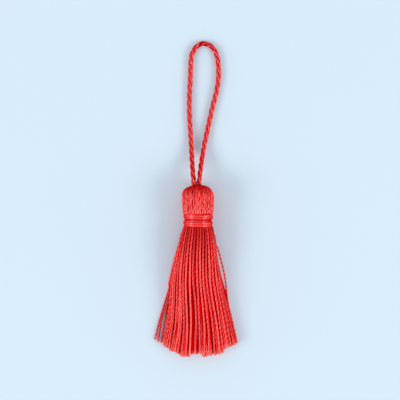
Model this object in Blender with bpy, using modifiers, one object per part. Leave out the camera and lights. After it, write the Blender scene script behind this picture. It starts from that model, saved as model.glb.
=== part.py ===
"""A small silky thread tassel with a twisted hanging loop, lying on its side.

Metres, with +Z up from the surface that it lies on. Its length runs along Y: the
hanging loop points to +Y and the cut ends of the skirt to -Y. The origin is on the
surface, under the middle of the tassel's own outline, with the loop left out.
"""

import math
import random
from typing import NamedTuple

import bmesh
import bpy
import numpy as np
from mathutils import Vector
from mathutils.geometry import interpolate_bezier

MM = 0.001

# Places along and across the tassel
AXIS_X = 0.62 * MM
AXIS_Z = 4.55 * MM
HEAD_TOP_Y = 25.0 * MM
HEAD_FOOT_Y = 16.45 * MM
BINDING_TOP_Y = 16.15 * MM
BINDING_FOOT_Y = 12.6 * MM
NECK_FOOT_Y = 12.3 * MM

# Head: the threads folded over the loop, in a dome that draws in to the binding
HEAD_RADIUS = 4.6 * MM
DOME_DEPTH = 3.6 * MM
DOME_POWER = 2.6
DOME_LEAN = 0.035
WAIST_DEPTH = 5.6 * MM
WAIST_DROP = 0.5 * MM
RIBS = 30
RIB_HEIGHT = 0.09 * MM
RIB_FADE_DEPTH = 1.8 * MM
HEAD_DEPTHS = (0.14, 0.45, 0.9, 1.6, 2.6, 3.8, 5.2, 6.5, 7.6, 8.3)
DIMPLE_X = 0.22 * MM
DIMPLE_RADIUS = 1.85 * MM
DIMPLE_DEPTH = 1.0 * MM
DIMPLE_LIP = 0.4 * MM
FLAT_ANGLE = math.radians(13)
FULL_RIB_ANGLE = math.radians(26)
FLAT_REACH = 0.12 * MM
NECK_RADIUS = 3.3 * MM

# Binding: turns of thread wound round the neck in two groups, a little aslant
BINDING_TURNS = 7
TURNS_ABOVE_NOTCH = 4
TURN_CREST = 0.13 * MM
NOTCH_DEPTH = 0.16 * MM
BINDING_TOP_RADIUS = 4.25 * MM
BINDING_FOOT_RADIUS = 3.92 * MM
BINDING_BORE = 3.62 * MM
BINDING_SLANT = math.radians(-1.2)
BINDING_STEPS = 32

# Skirt: threads that leave the neck as a round bundle and settle into a low mound
THREADS = 180
GOLDEN_STEP = (math.sqrt(5) - 1) / 2
SKIRT_LENGTH = 36.7 * MM
HEM_RISE = 3.6 * MM
HEM_POWER = 2.2
CUT_SCATTER = 0.42 * MM
PRESS = 0.3 * MM
CLUMPS_ACROSS = 4.5
CLUMP_SHIFT = 0.05 * MM
WANDER = 0.03 * MM
WANDER_SEED = 11
CUT_SEED = 5
LEAST_GAP = 0.04 * MM
LAST_BEND_TO_CUT_MM = 1.0
HALVINGS = 40

# Loop: a three-ply cord whose two legs leave the dimple and come down to the surface
CORD_RADIUS = 0.7 * MM
CORD_VALLEY = 0.52 * MM
CORD_PLIES = 3
CORD_LAY = 7.1 * MM
STEPS_A_LAY = 10
FINE_STEPS = 16
SHOULDER_ANGLE = math.radians(20)

SILK_RED = (0.62, 0.018, 0.016, 1.0)
CORD_RED = (0.60, 0.020, 0.018, 1.0)
BINDING_RED = (0.66, 0.024, 0.020, 1.0)


class Section(NamedTuple):
    """One section across the skirt, a distance below the foot of the neck."""

    along: float
    middle_x: float
    half_width: float
    round_radius: float
    settled: float
    mound: float
    thread: float


SKIRT_SECTIONS = [
    # millimetres, apart from settled: 0 is the neck's round bundle, 1 a mound on the surface
    Section(-0.8, 0.62, 3.05, 3.05, 0.00, 7.6, 0.20),
    Section(2.2, 0.62, 4.65, 4.10, 0.10, 7.6, 0.29),
    Section(7.5, 0.36, 5.80, 4.00, 0.55, 7.1, 0.34),
    Section(16.8, 0.08, 8.15, 4.00, 1.00, 6.2, 0.38),
    Section(37.0, 0.06, 13.08, 4.00, 1.00, 4.3, 0.40),
]
THREAD_STATIONS = [section.along for section in SKIRT_SECTIONS[:-1]]
TOUCH_STATIONS = (-0.8, 0.7, 2.2, 4.0, 5.8, 7.5, 9.8, 12.2, 14.5, 16.8, 19.5, 22.3, 27.0, 33.0)

# Threads that part from the skirt's sides: how far out they stand at points along them
STRAY_THREADS = {
    0: ((16.8, 0.0), (33.0, -0.20)),
    1: ((16.8, 0.0), (33.0, -0.25)),
    THREADS - 1: ((2.2, 0.0), (7.5, 0.70), (12.0, 0.90), (16.8, 0.70), (22.3, 0.25), (29.0, 0.0)),
}

# The middle of the cord, from its left leg in the dimple round to its right one, in
# millimetres. It falls from the height of the head to the surface, and then lies on it.
LOOP_ROUTE = [
    (-0.57, 24.35, 4.50),
    (-0.58, 25.60, 4.46),
    (-0.74, 27.00, 4.24),
    (-0.93, 29.20, 3.52),
    (-1.10, 32.00, 2.36),
    (-1.28, 35.40, 1.32),
    (-1.50, 39.40, 0.82),
    (-1.76, 43.60, 0.72),
    (-1.88, 47.70, 0.72),
    (-1.80, 51.70, 0.72),
    (-1.62, 55.20, 0.72),
    (-1.52, 58.10, 0.72),
    (-1.46, 60.50, 0.72),
    (-1.20, 62.50, 0.72),
    (-0.54, 64.15, 0.72),
    (0.60, 65.45, 0.72),
    (2.22, 66.00, 0.72),
    (3.88, 65.60, 0.72),
    (5.15, 64.50, 0.72),
    (5.98, 62.90, 0.72),
    (6.44, 61.00, 0.72),
    (6.62, 58.70, 0.72),
    (6.62, 56.40, 0.72),
    (6.38, 54.00, 0.72),
    (5.94, 51.70, 0.72),
    (5.36, 49.30, 0.72),
    (4.70, 46.80, 0.72),
    (4.06, 43.90, 0.72),
    (3.42, 41.00, 0.78),
    (2.82, 38.10, 0.98),
    (2.26, 35.20, 1.42),
    (1.80, 32.60, 2.16),
    (1.48, 30.30, 3.06),
    (1.24, 28.20, 3.88),
    (1.07, 26.60, 4.32),
    (1.01, 25.40, 4.47),
    (1.01, 24.35, 4.50),
]


def clear_scene():
    """Remove every object that the file holds."""
    for obj in list(bpy.data.objects):
        bpy.data.objects.remove(obj, do_unlink=True)


def new_collection(name):
    """A new collection, linked to the scene."""
    collection = bpy.data.collections.new(name)
    bpy.context.scene.collection.children.link(collection)
    return collection


def new_material(name, colour, roughness):
    """A Principled material for dyed silky thread."""
    material = bpy.data.materials.new(name)
    material.use_nodes = True
    shader = material.node_tree.nodes["Principled BSDF"]
    shader.inputs["Base Color"].default_value = colour
    shader.inputs["Roughness"].default_value = roughness
    shader.inputs["Metallic"].default_value = 0.0
    return material


def object_from_bmesh(name, bm, collection):
    """Closes a bmesh into an object, with its faces pointing out."""
    bmesh.ops.recalc_face_normals(bm, faces=bm.faces)
    mesh = bpy.data.meshes.new(name)
    bm.to_mesh(mesh)
    bm.free()
    obj = bpy.data.objects.new(name, mesh)
    collection.objects.link(obj)
    return obj


def make_helper(obj):
    """Marks an object as a helper that is not a piece of the tassel."""
    obj.hide_render = True
    obj.display_type = "WIRE"


def add_loft(bm, rings):
    """Joins rings of equally many points into one closed tube with flat ends."""
    loops = [[bm.verts.new(point) for point in ring] for ring in rings]
    sides = len(rings[0])
    for first, second in zip(loops, loops[1:]):
        for side in range(sides):
            after = (side + 1) % sides
            bm.faces.new((first[side], first[after], second[after], second[side]))
    bm.faces.new(loops[0])
    bm.faces.new(loops[-1])


def ramp(value, start, end):
    """0 at start, 1 at end, straight between them and level outside."""
    return min(1.0, max(0.0, (value - start) / (end - start)))


def head_radius(depth):
    """Radius of the head's surface at a depth below its top."""
    if depth < DOME_DEPTH:
        rise = 1.0 - depth / DOME_DEPTH
        return HEAD_RADIUS * (1.0 - rise**DOME_POWER) ** (1.0 / DOME_POWER)
    drawn_in = ramp(depth, WAIST_DEPTH, HEAD_TOP_Y - HEAD_FOOT_Y)
    return HEAD_RADIUS - WAIST_DROP * drawn_in**2


def head_ring(depth, radius, rib, centre_x):
    """A ribbed ring round the head's axis, pressed flat and smooth where it meets the surface."""
    points = []
    for step in range(-RIBS, RIBS):
        angle = math.pi * step / RIBS
        raised = rib * ramp(abs(angle), FLAT_ANGLE, FULL_RIB_ANGLE)
        reach = radius + raised * math.cos(RIBS * angle)
        x = reach * math.sin(angle)
        z = AXIS_Z - reach * math.cos(angle)
        if z < FLAT_REACH and abs(angle) < FLAT_ANGLE:
            z = 0.0
        lean = DOME_LEAN * x * (1.0 - ramp(depth, DIMPLE_DEPTH, DOME_DEPTH))
        points.append((centre_x + x, HEAD_TOP_Y - depth + lean, z))
    return points


def head_rings():
    """The rings from the floor of the dimple, over the dome and down the neck."""
    rings = [
        head_ring(DIMPLE_DEPTH, DIMPLE_RADIUS, 0.0, DIMPLE_X),
        head_ring(DIMPLE_LIP, DIMPLE_RADIUS, 0.0, DIMPLE_X),
    ]
    for depth_mm in HEAD_DEPTHS:
        depth = depth_mm * MM
        centred = ramp(depth, 0.0, DOME_DEPTH)
        centre_x = DIMPLE_X + (AXIS_X - DIMPLE_X) * centred
        rib = RIB_HEIGHT * ramp(depth, 0.0, RIB_FADE_DEPTH)
        rings.append(head_ring(depth, head_radius(depth), rib, centre_x))
    foot = HEAD_TOP_Y - HEAD_FOOT_Y
    rings.append(head_ring(foot, head_radius(foot), 0.0, AXIS_X))
    rings.append(head_ring(foot, NECK_RADIUS, 0.0, AXIS_X))
    rings.append(head_ring(HEAD_TOP_Y - NECK_FOOT_Y, NECK_RADIUS, 0.0, AXIS_X))
    return rings


def section_at(along_mm):
    """The skirt's section at a distance along it, straight between the table's rows."""
    rows = np.array(SKIRT_SECTIONS)
    return Section(*(float(np.interp(along_mm, rows[:, 0], column)) for column in rows.T))


def across_disc(share):
    """How far across a unit disc, from -1 to 1, an upright cut leaves that share of it."""
    low, high = -1.0, 1.0
    for _ in range(HALVINGS):
        middle = (low + high) / 2
        area = 0.5 + (middle * math.sqrt(1 - middle**2) + math.asin(middle)) / math.pi
        if area < share:
            low = middle
        else:
            high = middle
    return low


def stray_shift(number, along_mm):
    """How far a thread stands out sideways from its place in the skirt."""
    if number not in STRAY_THREADS:
        return 0.0
    places, shifts = zip(*STRAY_THREADS[number])
    return float(np.interp(along_mm, places, shifts)) * MM


class Thread(NamedTuple):
    """Where one thread lies in the skirt: its column, its height there and its own ways."""

    number: int
    across: float
    level: float
    wander: Vector


def thread_middle(thread, along_mm):
    """(x, z) of a thread's middle at a distance along the skirt, and half its thickness."""
    section = section_at(along_mm)
    half = section.thread * MM / 2
    chord = math.sqrt(1.0 - thread.across**2)
    loose = ramp(along_mm, SKIRT_SECTIONS[1].along, SKIRT_SECTIONS[-1].along)
    clump = CLUMP_SHIFT * math.sin(2 * math.pi * CLUMPS_ACROSS * thread.across)
    x = (section.middle_x + section.half_width * thread.across) * MM
    x += (clump + thread.wander.x) * loose + stray_shift(thread.number, along_mm)
    in_bundle = AXIS_Z + section.round_radius * MM * chord * (2 * thread.level - 1)
    in_mound = half + max(0.0, section.mound * MM * chord * thread.level - PRESS)
    z = in_bundle + (in_mound - in_bundle) * section.settled
    if in_mound > half:
        z += thread.wander.y * loose
    return x, max(half, z), half


def too_close(middles, others):
    """Whether two threads come closer than the least gap at any of the stations."""
    return any(
        max(abs(x - other_x), abs(z - other_z)) < 2 * half + LEAST_GAP
        for (x, z, half), (other_x, other_z, _) in zip(middles, others)
    )


def lay_threads():
    """The threads' places: an even scatter over the bundle's section, less those that touch."""
    scatter = random.Random(WANDER_SEED)
    threads, laid = [], []
    for number in range(THREADS):
        across = across_disc((number + 0.5) / THREADS)
        level = ((number + 0.5) * GOLDEN_STEP) % 1.0
        wander = Vector((scatter.uniform(-WANDER, WANDER), scatter.uniform(-WANDER, WANDER)))
        thread = Thread(number, across, level, wander)
        middles = [thread_middle(thread, along_mm) for along_mm in TOUCH_STATIONS]
        if not any(too_close(middles, others) for others in laid):
            threads.append(thread)
            laid.append(middles)
    return threads


def add_thread(bm, thread, length_mm):
    """One thread, from inside the neck to its own cut end."""
    last_bend = length_mm - LAST_BEND_TO_CUT_MM
    bends = [point for point, _ in STRAY_THREADS.get(thread.number, ()) if point < last_bend]
    rings = []
    for along_mm in (*sorted({*THREAD_STATIONS, *bends}), length_mm):
        x, z, half = thread_middle(thread, along_mm)
        y = NECK_FOOT_Y - along_mm * MM
        corners = ((-half, -half), (half, -half), (half, half), (-half, half))
        rings.append([(x + dx, y, max(0.0, z + dz)) for dx, dz in corners])
    add_loft(bm, rings)


def add_threads(bm):
    """Every thread of the skirt, cut to one length from the neck with a little scatter."""
    scatter = random.Random(CUT_SEED)
    for thread in lay_threads():
        cut = scatter.uniform(-CUT_SCATTER, CUT_SCATTER)
        length = SKIRT_LENGTH - HEM_RISE * abs(thread.across) ** HEM_POWER + cut
        add_thread(bm, thread, length / MM)


def build_head_and_skirt(collection, helpers):
    """The head, with the skirt's threads fused into its neck."""
    bm = bmesh.new()
    add_loft(bm, head_rings())
    head = object_from_bmesh("head_and_skirt", bm, collection)
    bm = bmesh.new()
    add_threads(bm)
    threads = object_from_bmesh("skirt_threads", bm, helpers)
    make_helper(threads)
    fuse = head.modifiers.new("fuse_threads", "BOOLEAN")
    fuse.operation = "UNION"
    fuse.solver = "EXACT"
    fuse.object = threads
    head.data.materials.append(new_material("silky_thread", SILK_RED, 0.38))


def binding_profile():
    """(radius, height) round the binding's wall: down over its turns and up its bore."""
    height = BINDING_TOP_Y - BINDING_FOOT_Y
    pitch = height / BINDING_TURNS
    points = []
    for half_turn in range(2 * BINDING_TURNS + 1):
        share = half_turn / (2 * BINDING_TURNS)
        radius = BINDING_TOP_RADIUS + (BINDING_FOOT_RADIUS - BINDING_TOP_RADIUS) * share
        if half_turn % 2 == 0:
            radius -= TURN_CREST
        if half_turn == 2 * TURNS_ABOVE_NOTCH:
            radius -= NOTCH_DEPTH
        points.append((radius, height / 2 - pitch * half_turn / 2))
    points.append((BINDING_BORE, -height / 2))
    points.append((BINDING_BORE, height / 2))
    return points


def build_binding(collection):
    """The wound binding, turned from its profile and laid with its axis along Y."""
    bm = bmesh.new()
    corners = [bm.verts.new((radius, 0.0, height)) for radius, height in binding_profile()]
    for first, second in zip(corners, corners[1:] + corners[:1]):
        bm.edges.new((first, second))
    mesh = bpy.data.meshes.new("neck_binding")
    bm.to_mesh(mesh)
    bm.free()
    binding = bpy.data.objects.new("neck_binding", mesh)
    collection.objects.link(binding)
    turn = binding.modifiers.new("turn", "SCREW")
    turn.axis = "Z"
    turn.steps = BINDING_STEPS
    turn.render_steps = BINDING_STEPS
    turn.use_merge_vertices = True
    turn.merge_threshold = 0.00001
    binding.rotation_euler = (math.radians(-90), 0.0, BINDING_SLANT)
    binding.location = (AXIS_X, (BINDING_TOP_Y + BINDING_FOOT_Y) / 2, AXIS_Z)
    mesh.materials.append(new_material("binding_thread", BINDING_RED, 0.42))


def smooth_route(points, step):
    """Points about a step apart on one smooth curve through the given points."""
    directions = []
    for index in range(len(points)):
        before = points[max(0, index - 1)]
        after = points[min(len(points) - 1, index + 1)]
        directions.append((after - before).normalized())
    fine = [points[0]]
    for start, end, leaving, arriving in zip(points, points[1:], directions, directions[1:]):
        reach = (end - start).length / 3
        handles = (start + leaving * reach, end - arriving * reach)
        fine += interpolate_bezier(start, *handles, end, FINE_STEPS)[1:]
    travelled = [0.0]
    for start, end in zip(fine, fine[1:]):
        travelled.append(travelled[-1] + (end - start).length)
    count = round(travelled[-1] / step)
    route, row = [], 0
    for number in range(count + 1):
        target = travelled[-1] * number / count
        while row < len(fine) - 2 and travelled[row + 1] < target:
            row += 1
        share = (target - travelled[row]) / (travelled[row + 1] - travelled[row])
        route.append(fine[row].lerp(fine[row + 1], share))
    return route, travelled[-1] / count


def build_cord_profile(helpers):
    """The cord's outline across its plies: rounded lobes with a valley between each two."""
    outline = []
    for ply in range(CORD_PLIES):
        middle = -2 * math.pi * ply / CORD_PLIES
        outline.append((CORD_RADIUS, middle + SHOULDER_ANGLE))
        outline.append((CORD_RADIUS, middle - SHOULDER_ANGLE))
        outline.append((CORD_VALLEY, middle - math.pi / CORD_PLIES))
    curve = bpy.data.curves.new("cord_outline", "CURVE")
    curve.dimensions = "2D"
    spline = curve.splines.new("POLY")
    spline.points.add(len(outline) - 1)
    for point, (radius, angle) in zip(spline.points, outline):
        point.co = (radius * math.cos(angle), radius * math.sin(angle), 0.0, 1.0)
    spline.use_cyclic_u = True
    profile = bpy.data.objects.new("cord_outline", curve)
    helpers.objects.link(profile)
    make_helper(profile)
    return profile


def build_loop(collection, helpers):
    """The hanging loop: the cord's outline carried along its route, turning with the lay."""
    points = [Vector(point) * MM for point in LOOP_ROUTE]
    route, step = smooth_route(points, CORD_LAY / STEPS_A_LAY)
    curve = bpy.data.curves.new("hanging_loop", "CURVE")
    curve.dimensions = "3D"
    curve.twist_mode = "MINIMUM"
    curve.bevel_mode = "OBJECT"
    curve.bevel_object = build_cord_profile(helpers)
    curve.use_fill_caps = True
    spline = curve.splines.new("POLY")
    spline.points.add(len(route) - 1)
    for number, (point, place) in enumerate(zip(spline.points, route)):
        point.co = (*place, 1.0)
        point.tilt = -2 * math.pi * number * step / CORD_LAY
    loop = bpy.data.objects.new("hanging_loop", curve)
    collection.objects.link(loop)
    curve.materials.append(new_material("twisted_cord", CORD_RED, 0.40))


def main():
    """Build the tassel's three pieces."""
    clear_scene()
    tassel = new_collection("tassel")
    helpers = new_collection("tassel_helpers")
    build_head_and_skirt(tassel, helpers)
    build_binding(tassel)
    build_loop(tassel, helpers)


main()
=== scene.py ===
"""The looks of a small silky tassel with a twisted hanging loop, lying on a pale blue surface.

Metres, in the frame's own axes: +Y runs from the cut ends to the hanging loop, and +Z is up
from the surface. Sizes in millimetres are multiplied by MM where they are named. The cord's
route, the head's neck line, the binding's radii and the whole skirt are given in millimetres, and
multiplied where they are used.
"""

import logging
import math
import random
from dataclasses import dataclass, field
from enum import Enum
from typing import Any, NamedTuple, Sequence

import bpy
import numpy as np
from mathutils import Matrix, Vector, noise


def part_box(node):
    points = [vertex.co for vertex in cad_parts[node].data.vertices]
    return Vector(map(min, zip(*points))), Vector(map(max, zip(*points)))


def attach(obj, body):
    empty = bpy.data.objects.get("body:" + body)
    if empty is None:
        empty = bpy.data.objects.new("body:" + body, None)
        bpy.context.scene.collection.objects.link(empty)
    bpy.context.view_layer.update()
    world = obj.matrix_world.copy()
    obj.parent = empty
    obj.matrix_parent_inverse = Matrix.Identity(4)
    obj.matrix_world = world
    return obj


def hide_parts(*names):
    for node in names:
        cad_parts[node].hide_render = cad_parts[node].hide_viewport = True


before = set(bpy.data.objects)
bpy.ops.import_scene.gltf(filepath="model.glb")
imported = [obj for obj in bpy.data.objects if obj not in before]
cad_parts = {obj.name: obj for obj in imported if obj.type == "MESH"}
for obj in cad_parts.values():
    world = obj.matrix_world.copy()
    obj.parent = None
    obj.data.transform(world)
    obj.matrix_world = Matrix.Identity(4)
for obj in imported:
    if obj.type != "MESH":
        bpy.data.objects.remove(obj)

MM = 0.001
BODY = "root"
LOG = logging.getLogger("tassel")
Colour = tuple[float, float, float, float]

# Numbers of the sockets on nodes that have several of one name
RANDOM_LEAST, RANDOM_MOST, RANDOM_SEED = 2, 3, 8
WHOLE_FIRST, WHOLE_SECOND = 2, 3
COLOUR_FIRST, COLOUR_SECOND, COLOUR_MIXED = 6, 7, 2

# What the spinning group takes beside its guides, and the laying group beside its path
SPIN_INPUTS: dict[str, Any] = {
    "Plies": ("Int", 2), "Radius": ("Float", 0.3 * MM), "Lay": ("Float", 2.0 * MM),
    "Step": ("Float", 0.2 * MM), "Points_Round": ("Int", 10), "Ply_Reach": ("Float", 0.42),
    "Seed": ("Int", 0),
}
LAY_INPUTS: dict[str, Any] = {
    "Yarns": ("Int", 3), "From_Middle": ("Float", 0.4 * MM), "Cord_Lay": ("Float", 7.0 * MM),
    "Cord_Step": ("Float", 0.4 * MM),
}


class Twist(Enum):
    """Which way plies wind about each other, as the sign of the turn along the thread."""

    Z_LAY = 1.0
    S_LAY = -1.0


class Landmarks:
    """Places on the tassel that its pieces are laid out from, read from the frame's solids."""

    def __init__(self) -> None:
        """Read the boxes of the head and of the binding."""
        head_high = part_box("head_and_skirt")[1]
        binding_low, binding_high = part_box("neck_binding")
        middle = (binding_low + binding_high) / 2
        self.axis_x: float = middle.x
        self.axis_z: float = middle.z
        self.binding_y: float = middle.y
        self.head_top_y: float = head_high.y


class TreeMaker:
    """Adds nodes to one node tree and joins them up."""

    def __init__(self, tree: bpy.types.NodeTree) -> None:
        """Take the tree to be filled.

        Args:
            tree: A geometry or shader node tree.
        """
        self.tree = tree

    def sockets(self, direction: str, **kinds: Any) -> None:
        """Give the tree its named inputs or outputs.

        Args:
            direction: INPUT or OUTPUT.
            kinds: A socket type for each name, or a pair of the type and its default. An
                underscore in a name stands for a space.
        """
        for name, kind in kinds.items():
            kind, default = kind if isinstance(kind, tuple) else (kind, None)
            socket = self.tree.interface.new_socket(
                name=name.replace("_", " "), in_out=direction, socket_type=f"NodeSocket{kind}"
            )
            if default is not None:
                socket.default_value = default

    def add(self, kind: str, feeds: dict[Any, Any] | None = None, **settings: Any) -> bpy.types.Node:
        """Add a node, with its settings and what feeds it.

        Args:
            kind: The node's type.
            feeds: A value or a socket for each input, by its name or number.
            settings: Properties of the node itself.

        Returns:
            The new node.
        """
        node = self.tree.nodes.new(kind)
        for name, value in settings.items():
            setattr(node, name, value)
        self.feed(node, feeds or {})
        return node

    def feed(self, node: bpy.types.Node, feeds: dict[Any, Any]) -> None:
        """Link a socket to each of a node's inputs, or set the input's own value.

        Args:
            node: The node that is fed.
            feeds: A value or a socket for each input, by its name or number.
        """
        for key, value in feeds.items():
            if isinstance(value, bpy.types.NodeSocket):
                self.tree.links.new(value, node.inputs[key])
            else:
                node.inputs[key].default_value = value

    def given(self) -> Any:
        """The tree's own inputs, as sockets by their names."""
        return self.tree.nodes.new("NodeGroupInput").outputs

    def give(self, **results: Any) -> None:
        """Feed the tree's own outputs, by their names."""
        self.add("NodeGroupOutput", results)

    def math(self, operation: str, *values: Any) -> bpy.types.NodeSocket:
        """The result of a Math node on values or sockets."""
        return self.add("ShaderNodeMath", dict(enumerate(values)), operation=operation).outputs[0]

    def plus(self, first: Any, second: Any) -> bpy.types.NodeSocket:
        """The sum of two values or sockets."""
        return self.math("ADD", first, second)

    def minus(self, first: Any, second: Any) -> bpy.types.NodeSocket:
        """The first of two values or sockets less the second."""
        return self.math("SUBTRACT", first, second)

    def times(self, first: Any, second: Any) -> bpy.types.NodeSocket:
        """The product of two values or sockets."""
        return self.math("MULTIPLY", first, second)

    def over(self, first: Any, second: Any) -> bpy.types.NodeSocket:
        """The first of two values or sockets divided by the second."""
        return self.math("DIVIDE", first, second)

    def scaled(self, vector: Any, scale: Any) -> bpy.types.NodeSocket:
        """A vector made longer or shorter."""
        feeds = {"Vector": vector, "Scale": scale}
        return self.add("ShaderNodeVectorMath", feeds, operation="SCALE").outputs["Vector"]

    def eased(
        self, value: Any, between: tuple[float, float], first: float = 0.0, last: float = 1.0
    ) -> bpy.types.NodeSocket:
        """A value brought smoothly from first to last as it crosses a range, and level outside."""
        start, end = between
        feeds = {"Value": value, "From Min": start, "From Max": end, "To Min": first, "To Max": last}
        return self.add("ShaderNodeMapRange", feeds, interpolation_type="SMOOTHSTEP").outputs["Result"]

    def mixed(self, share: Any, first: Any, second: Any) -> bpy.types.NodeSocket:
        """A colour between two, by the second one's share."""
        feeds = {"Factor": share, COLOUR_FIRST: first, COLOUR_SECOND: second}
        return self.add("ShaderNodeMix", feeds, data_type="RGBA").outputs[COLOUR_MIXED]

    def group(self, inner: bpy.types.NodeTree, feeds: dict[str, Any]) -> bpy.types.Node:
        """Place a node group, with what feeds it."""
        kind = "GeometryNodeGroup" if inner.bl_idname == "GeometryNodeTree" else "ShaderNodeGroup"
        return self.add(kind, feeds, node_tree=inner)


class ThreadWorks:
    """The Geometry Nodes that spin plies into threads and lay threads into a cord."""

    def __init__(self) -> None:
        """Build both groups and the two trees that pieces use."""
        self.spin = self._spin_plies()
        self.lay = self._lay_yarns()
        self.thread_tree = self._piece_tree("threads_on_guides", laid=False)
        self.cord_tree = self._piece_tree("cord_on_path", laid=True)

    def _store(
        self, make: TreeMaker, geometry: Any, name: str, value: Any, kind: str = "FLOAT"
    ) -> bpy.types.NodeSocket:
        """Keep a value as an attribute of the geometry's points, and return the geometry."""
        feeds = {"Geometry": geometry, "Name": name, "Value": value}
        node = make.add("GeometryNodeStoreNamedAttribute", feeds, data_type=kind, domain="POINT")
        return node.outputs["Geometry"]

    def _attribute(self, make: TreeMaker, name: str) -> bpy.types.NodeSocket:
        """The value of a named attribute."""
        node = make.add("GeometryNodeInputNamedAttribute", {"Name": name}, data_type="FLOAT")
        return node.outputs["Attribute"]

    def _smooth_curves(self, make: TreeMaker, guides: Any, step: Any) -> bpy.types.NodeSocket:
        """Turn guides of edges into smooth curves with a point at every step."""
        curve = make.add("GeometryNodeMeshToCurve", {"Mesh": guides}).outputs["Curve"]
        smooth = make.add(
            "GeometryNodeCurveSplineType", {"Curve": curve}, spline_type="CATMULL_ROM"
        ).outputs["Curve"]
        even = make.add("GeometryNodeResampleCurve", {"Curve": smooth, "Length": step}, mode="LENGTH")
        return even.outputs["Curve"]

    def _ply_outline(self, make: TreeMaker, given: Any) -> bpy.types.NodeSocket:
        """The outline across a thread: one round lobe for each ply, with creases between."""
        size = {"Resolution": given["Points Round"], "Radius": 1.0}
        circle = make.add("GeometryNodeCurvePrimitiveCircle", size).outputs["Curve"]
        share = make.add("GeometryNodeSplineParameter").outputs["Factor"]
        plies = given["Plies"]
        wrapped = make.math("FRACT", make.plus(make.times(share, plies), 0.5))
        from_middle = make.minus(wrapped, 0.5)
        angle = make.over(make.times(from_middle, math.tau), plies)
        reach = given["Ply Reach"]
        ply_radius = make.minus(1.0, reach)
        aside = make.times(reach, make.math("SINE", angle))
        under = make.minus(make.math("POWER", ply_radius, 2.0), make.math("POWER", aside, 2.0))
        root = make.math("SQRT", make.math("MAXIMUM", under, 0.0))
        radius = make.plus(make.times(reach, make.math("COSINE", angle)), root)
        away = make.times(make.math("ABSOLUTE", from_middle), 2.0)
        crest = make.minus(1.0, away)
        outline = self._store(make, circle, "crest", crest)
        outline = self._store(make, outline, "bearing", make.times(share, math.tau))
        place = make.scaled(make.add("GeometryNodeInputPosition").outputs["Position"], radius)
        moved = make.add("GeometryNodeSetPosition", {"Geometry": outline, "Position": place})
        return moved.outputs["Geometry"]

    def _spin_plies(self) -> bpy.types.NodeTree:
        """A group that winds plies round each guide.

        Returns:
            The group. Its guides are edges with a thickness and a tone at each point.
        """
        tree = bpy.data.node_groups.new("spin_plies", "GeometryNodeTree")
        make = TreeMaker(tree)
        make.sockets("INPUT", Guides="Geometry", **SPIN_INPUTS)
        make.sockets("OUTPUT", Threads="Geometry")
        given = make.given()
        curves = self._smooth_curves(make, given["Guides"], given["Step"])
        along = make.add("GeometryNodeSplineParameter").outputs["Length"]
        any_turn = {RANDOM_LEAST: 0.0, RANDOM_MOST: math.tau, RANDOM_SEED: given["Seed"]}
        start = make.add("FunctionNodeRandomValue", any_turn).outputs[1]
        own_start = make.add(
            "GeometryNodeFieldOnDomain", {"Value": start}, data_type="FLOAT", domain="CURVE"
        ).outputs["Value"]
        wound = make.over(make.times(along, math.tau), given["Lay"])
        turn = make.plus(wound, own_start)
        tilted = make.add("GeometryNodeSetCurveTilt", {"Curve": curves, "Tilt": turn})
        curves = self._store(make, tilted.outputs["Curve"], "turn", turn)
        curves = self._store(make, curves, "along", along)
        scale = make.times(self._attribute(make, "thickness"), given["Radius"])
        tube = make.add(
            "GeometryNodeCurveToMesh",
            {
                "Curve": curves, "Profile Curve": self._ply_outline(make, given), "Scale": scale,
                "Fill Caps": True,
            },
        ).outputs["Mesh"]
        lie = make.plus(self._attribute(make, "bearing"), self._attribute(make, "turn"))
        fibre = make.add(
            "ShaderNodeCombineXYZ",
            {
                "X": make.math("COSINE", lie), "Y": make.math("SINE", lie),
                "Z": make.over(self._attribute(make, "along"), MM),
            },
        ).outputs["Vector"]
        tube = self._store(make, tube, "fibre", fibre, "FLOAT_VECTOR")
        corners = make.add("GeometryNodeCornersOfFace").outputs["Total"]
        four_corners = {WHOLE_FIRST: corners, WHOLE_SECOND: 4}
        on_side = make.add("FunctionNodeCompare", four_corners, data_type="INT", operation="EQUAL")
        shading = {"Geometry": tube, "Shade Smooth": on_side.outputs["Result"]}
        make.give(Threads=make.add("GeometryNodeSetShadeSmooth", shading).outputs["Geometry"])
        return tree

    def _lay_yarns(self) -> bpy.types.NodeTree:
        """A group that winds the guides of a cord's yarns round the cord's own path.

        Returns:
            The group. It gives edges that the spinning group takes as its guides.
        """
        tree = bpy.data.node_groups.new("lay_yarns", "GeometryNodeTree")
        make = TreeMaker(tree)
        make.sockets("INPUT", Path="Geometry", **LAY_INPUTS)
        make.sockets("OUTPUT", Guides="Geometry")
        given = make.given()
        path = self._smooth_curves(make, given["Path"], given["Cord Step"])
        along = make.add("GeometryNodeSplineParameter").outputs["Length"]
        turn = make.over(make.times(along, math.tau), given["Cord Lay"])
        path = make.add("GeometryNodeSetCurveTilt", {"Curve": path, "Tilt": turn}).outputs["Curve"]
        copies = make.add(
            "GeometryNodeDuplicateElements", {"Geometry": path, "Amount": given["Yarns"]}, domain="SPLINE"
        )
        number = copies.outputs["Duplicate Index"]
        angle = make.over(make.times(number, math.tau), given["Yarns"])
        outward = make.add(
            "ShaderNodeVectorRotate",
            {
                "Vector": make.add("GeometryNodeInputNormal").outputs["Normal"],
                "Axis": make.add("GeometryNodeInputTangent").outputs["Tangent"], "Angle": angle,
            },
            rotation_type="AXIS_ANGLE",
        ).outputs["Vector"]
        offset = make.scaled(outward, given["From Middle"])
        moved = make.add(
            "GeometryNodeSetPosition", {"Geometry": copies.outputs["Geometry"], "Offset": offset}
        ).outputs["Geometry"]
        level = make.add("GeometryNodeSetCurveTilt", {"Curve": moved, "Tilt": 0.0}).outputs["Curve"]
        make.give(Guides=make.add("GeometryNodeCurveToMesh", {"Curve": level}).outputs["Mesh"])
        return tree

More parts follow.
